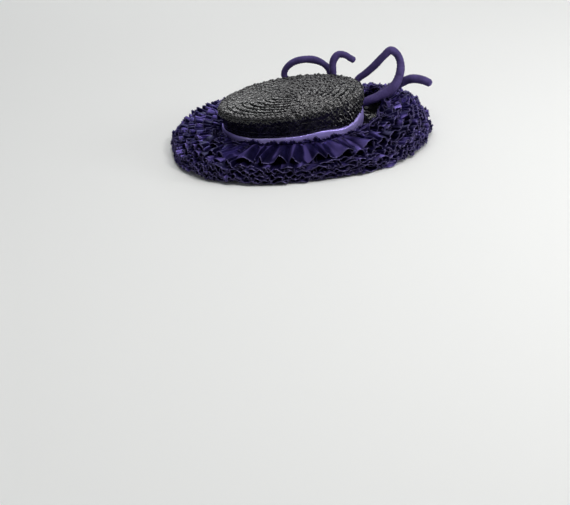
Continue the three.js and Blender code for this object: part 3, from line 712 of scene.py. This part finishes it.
def spline(rows, per=40):
    """Centripetal Catmull-Rom line through the rows (x, y, z, r)."""
    p = np.asarray(rows, dtype=float)
    p = np.vstack([2 * p[0] - p[1], p, 2 * p[-1] - p[-2]])
    out = []
    for i in range(1, len(p) - 2):
        p0, p1, p2, p3 = p[i - 1], p[i], p[i + 1], p[i + 2]
        t0 = 0.0
        t1 = t0 + np.linalg.norm((p1 - p0)[:3]) ** 0.5
        t2 = t1 + np.linalg.norm((p2 - p1)[:3]) ** 0.5
        t3 = t2 + np.linalg.norm((p3 - p2)[:3]) ** 0.5
        t = np.linspace(t1, t2, per, endpoint=False)[:, None]
        a1 = (t1 - t) / (t1 - t0) * p0 + (t - t0) / (t1 - t0) * p1
        a2 = (t2 - t) / (t2 - t1) * p1 + (t - t1) / (t2 - t1) * p2
        a3 = (t3 - t) / (t3 - t2) * p2 + (t - t2) / (t3 - t2) * p3
        b1 = (t2 - t) / (t2 - t0) * a1 + (t - t0) / (t2 - t0) * a2
        b2 = (t3 - t) / (t3 - t1) * a2 + (t - t1) / (t3 - t1) * a3
        out.append((t2 - t) / (t2 - t1) * b1 + (t - t1) / (t2 - t1) * b2)
    out.append(p[-2:-1])
    return np.vstack(out)


def make_tube(name, rows, cut_end, seed, step=0.8, sides=26):
    rng = np.random.default_rng(seed)
    line = spline(rows)
    run = np.concatenate([[0], np.cumsum(np.linalg.norm(np.diff(line[:, :3], axis=0), axis=1))])
    count = int(run[-1] / step)
    at = np.linspace(0, run[-1], count)
    c = np.stack([np.interp(at, run, line[:, k]) for k in range(3)], -1)
    r = np.interp(at, run, line[:, 3])
    tan = np.gradient(c, axis=0)
    tan /= np.linalg.norm(tan, axis=1, keepdims=True)
    bend = np.gradient(tan, axis=0) / step
    up = np.array([0.0, -1.0, 0.2])
    normals = []
    for i in range(count):
        up = up - tan[i] * up.dot(tan[i])
        up = up / np.linalg.norm(up)
        normals.append(up.copy())
    nrm = np.array(normals)
    bin_ = np.cross(tan, nrm)
    th = np.arange(sides) / sides * TAU
    ring = nrm[:, None, :] * np.cos(th)[None, :, None] + bin_[:, None, :] * np.sin(th)[None, :, None]
    # wrinkles on the inside of each bend, soft lumps along the stuffing, a seam groove
    inside = np.einsum("isk,ik->is", ring, bend)
    ripple = np.sin(at[:, None] * TAU / 3.1 + 1.7 * np.sin(th + 1.0)[None, :] + np.interp(at, np.arange(0, run[-1] + 8, 4), rng.normal(0, 1.2, len(np.arange(0, run[-1] + 8, 4))))[:, None])
    lump = np.interp(at, np.arange(0, run[-1] + 14, 7), rng.normal(0, 1, len(np.arange(0, run[-1] + 14, 7))))
    twist = np.interp(at, np.arange(0, run[-1] + 40, 20), np.cumsum(rng.normal(0, 0.35, len(np.arange(0, run[-1] + 40, 20)))))
    seam_at = np.mod(th[None, :] - (math.pi * 0.92 + twist[:, None]) + math.pi, TAU) - math.pi
    groove = -0.1 * np.exp(-((seam_at / 0.16) ** 2))
    skew = 0.07 * np.sin(2 * th[None, :] + at[:, None] * 0.09 + 0.6 * lump[:, None])
    rad = r[:, None] * (1 + 0.04 * lump[:, None] + skew + np.clip(inside, 0, 0.12) * 0.9 * ripple + 0.02 * ripple + groove)
    ends = np.ones(count)
    roll = r[-1] * 0.42
    tail = np.clip((run[-1] - at) / roll, 0, 1)
    if cut_end:
        ends = np.minimum(ends, 0.72 + 0.28 * np.sqrt(1 - (1 - tail) ** 2))
    pts = c[:, None, :] + ring * (rad * ends[:, None])[:, :, None]
    verts = pts.reshape(-1, 3)
    idx = np.arange(count * sides).reshape(count, sides)
    nx = np.roll(idx, -1, 1)
    quads = np.stack([idx[:-1], nx[:-1], nx[1:], idx[1:]], -1).reshape(-1, 4)
    extra, tris = [], []
    for i, sign in ((0, -1.0), (count - 1, 1.0)):
        # the cut end: two smaller rings and a slightly hollow middle
        rings = [idx[i]]
        for shrink, push in ((0.82, 0.16), (0.5, 0.06)):
            base = len(verts) + len(extra)
            extra.extend(list(c[i] + ring[i] * (rad[i] * ends[i] * shrink)[:, None] + tan[i] * sign * push * r[i]))
            rings.append(np.arange(base, base + sides))
        mid = len(verts) + len(extra)
        extra.append(c[i] + tan[i] * sign * 0.02 * r[i])
        new_quads = []
        for a, b in zip(rings[:-1], rings[1:]):
            an, bn = np.roll(a, -1), np.roll(b, -1)
            q = np.stack([a, an, bn, b], -1)
            new_quads.append(q if sign > 0 else q[:, ::-1])
        quads = np.vstack([quads] + new_quads)
        last = rings[-1]
        ln = np.roll(last, -1)
        tris.extend([[a, b, mid] if sign > 0 else [b, a, mid] for a, b in zip(last, ln)])
    verts = np.vstack([verts, np.array(extra)])
    uv = np.stack([np.repeat(at[:, None], sides, 1), np.repeat((th * 4.0)[None, :], count, 0)], -1).reshape(-1, 2) / 1000.0
    uv = np.vstack([uv, np.tile(uv[-1], (len(extra), 1))])
    return build_mesh(name, verts, quads, tris, uv=uv)


for name, rows, cut_end, seed in BOW:
    tube = make_tube(name + "_cloth", rows, cut_end, seed)
    tube.data.materials.append(BOW_CLOTH)
    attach(tube, "root")
    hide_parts(name)


def make_knot():
    nu, nv = 72, 40
    a = np.arange(nu) / nu * TAU
    b = np.linspace(0.06, math.pi - 0.06, nv)
    axis = np.array([0.82, -0.2, 0.54])
    axis /= np.linalg.norm(axis)
    s1 = np.cross(axis, [0, 0, 1.0])
    s1 /= np.linalg.norm(s1)
    s2 = np.cross(axis, s1)
    fold = 0.06 * np.cos(6.0 * b[None, :] + 0.5 * np.sin(2 * a)[:, None]) + 0.025 * np.sin(5 * a)[:, None]
    r = 7.5 * (1 + fold) * np.sin(b)[None, :] ** 0.55
    h = 6.4 * np.cos(b)[None, :] * np.ones((nu, 1))
    p = np.array(KNOT) + axis * h[:, :, None] + (s1 * np.cos(a)[:, None, None] + s2 * np.sin(a)[:, None, None]) * r[:, :, None]
    idx = np.arange(nu * nv).reshape(nu, nv)
    nx = np.roll(idx, -1, 0)
    quads = np.stack([idx[:, :-1], idx[:, 1:], nx[:, 1:], nx[:, :-1]], -1).reshape(-1, 4)
    verts = np.vstack([p.reshape(-1, 3), [np.array(KNOT) + axis * 6.3, np.array(KNOT) - axis * 6.3]])
    t0, t1 = nu * nv, nu * nv + 1
    tris = [[idx[i, 0], nx[i, 0], t0] for i in range(nu)] + [[nx[i, -1], idx[i, -1], t1] for i in range(nu)]
    uv = np.stack([np.repeat((a * 7.5)[:, None], nv, 1), np.repeat((b * 7)[None, :], nu, 0)], -1).reshape(-1, 2) / 1000.0
    uv = np.vstack([uv, uv[:1], uv[:1]])
    return build_mesh("bow_knot_cloth", verts, quads, tris, uv=uv)


knot = make_knot()
knot.data.materials.append(BOW_CLOTH)
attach(knot, "root")
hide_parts("bow_knot")


# ------------------------------------------------------------- floor and light
def make_floor():
    me = bpy.data.meshes.new("floor")
    s = 6.0
    me.from_pydata([(-s, -s, 0), (s, -s, 0), (s, s, 0), (-s, s, 0)], [], [(0, 1, 2, 3)])
    obj = bpy.data.objects.new("floor", me)
    bpy.context.scene.collection.objects.link(obj)
    m, nt, bsdf = new_material("floor_pale")
    bsdf.inputs["Base Color"].default_value = (0.88, 0.89, 0.88, 1.0)
    bsdf.inputs["Roughness"].default_value = 0.9
    bsdf.inputs["Specular IOR Level"].default_value = 0.1
    obj.data.materials.append(m)


make_floor()

world = bpy.data.worlds.new("studio")
bpy.context.scene.world = world
world.use_nodes = True
world.node_tree.nodes["Background"].inputs["Color"].default_value = (0.97, 0.99, 1.0, 1.0)
world.node_tree.nodes["Background"].inputs["Strength"].default_value = 0.12


def area(name, place, aim, size, power, colour=(1, 1, 1)):
    light = bpy.data.lights.new(name, "AREA")
    light.shape = "DISK"
    light.size = size
    light.energy = power
    light.color = colour
    obj = bpy.data.objects.new(name, light)
    obj.location = place
    obj.rotation_euler = (Vector(aim) - Vector(place)).to_track_quat("-Z", "Y").to_euler()
    bpy.context.scene.collection.objects.link(obj)


area("back_wall", (0.0, 1.7, 0.75), (0, 0, 0.05), 1.2, 9.0)
area("top_soft", (0.1, 0.35, 1.7), (0, 0, 0.0), 1.5, 5.5)
sun = bpy.data.lights.new("sky_soft", "SUN")
sun.energy = 0.42
sun.angle = math.radians(50.0)
sun_obj = bpy.data.objects.new("sky_soft", sun)
sun_obj.rotation_euler = (math.radians(-16.0), math.radians(8.0), 0.0)
bpy.context.scene.collection.objects.link(sun_obj)
area("key_right", (0.9, -0.65, 1.2), (0, 0, 0.02), 0.4, 8.0, (1.0, 0.98, 0.96))
area("low_right", (1.1, -0.3, 0.42), (0.05, 0, 0.03), 0.35, 3.4)
area("glint_front", (0.16, -0.5, 1.25), (0, -0.05, 0.03), 0.16, 2.2)
area("fill_left", (-1.3, -0.7, 0.9), (0, 0, 0.02), 1.0, 1.2, (0.95, 0.98, 1.0))


# ----------------------------------------------------------------------- camera
def make_camera(elevation, roll, distance, mm_per_px, centre):
    f = distance / mm_per_px
    e = math.radians(elevation)
    back = Vector((0.0, -math.cos(e), math.sin(e)))
    place = back * distance
    right = (-back).cross(Vector((0, 0, 1))).normalized()
    up = right.cross(-back)
    m = Matrix((right, up, back)).transposed()
    m = m @ Matrix.Rotation(math.radians(-roll), 3, "Z")
    d = Vector(((centre[0] - 285.0) / f, -(centre[1] - 252.5) / f, -1.0)).normalized()
    m = m @ d.rotation_difference(Vector((0, 0, -1))).to_matrix()
    cam = bpy.data.cameras.new("camera")
    cam.sensor_fit = "HORIZONTAL"
    cam.sensor_width = 36.0
    cam.lens = 36.0 * f / 570.0
    cam.clip_start, cam.clip_end = 0.05, 50.0
    obj = bpy.data.objects.new("camera", cam)
    world_place = (place + Vector((SHIFT_X, 0, 0))) / 1000.0
    obj.matrix_world = Matrix.Translation(world_place) @ m.to_4x4()
    bpy.context.scene.collection.objects.link(obj)
    bpy.context.scene.camera = obj


make_camera(20.5, 5.8, 1300.0, 1.03, (300.4, 137.0))
bpy.context.scene.view_settings.view_transform = "Standard"
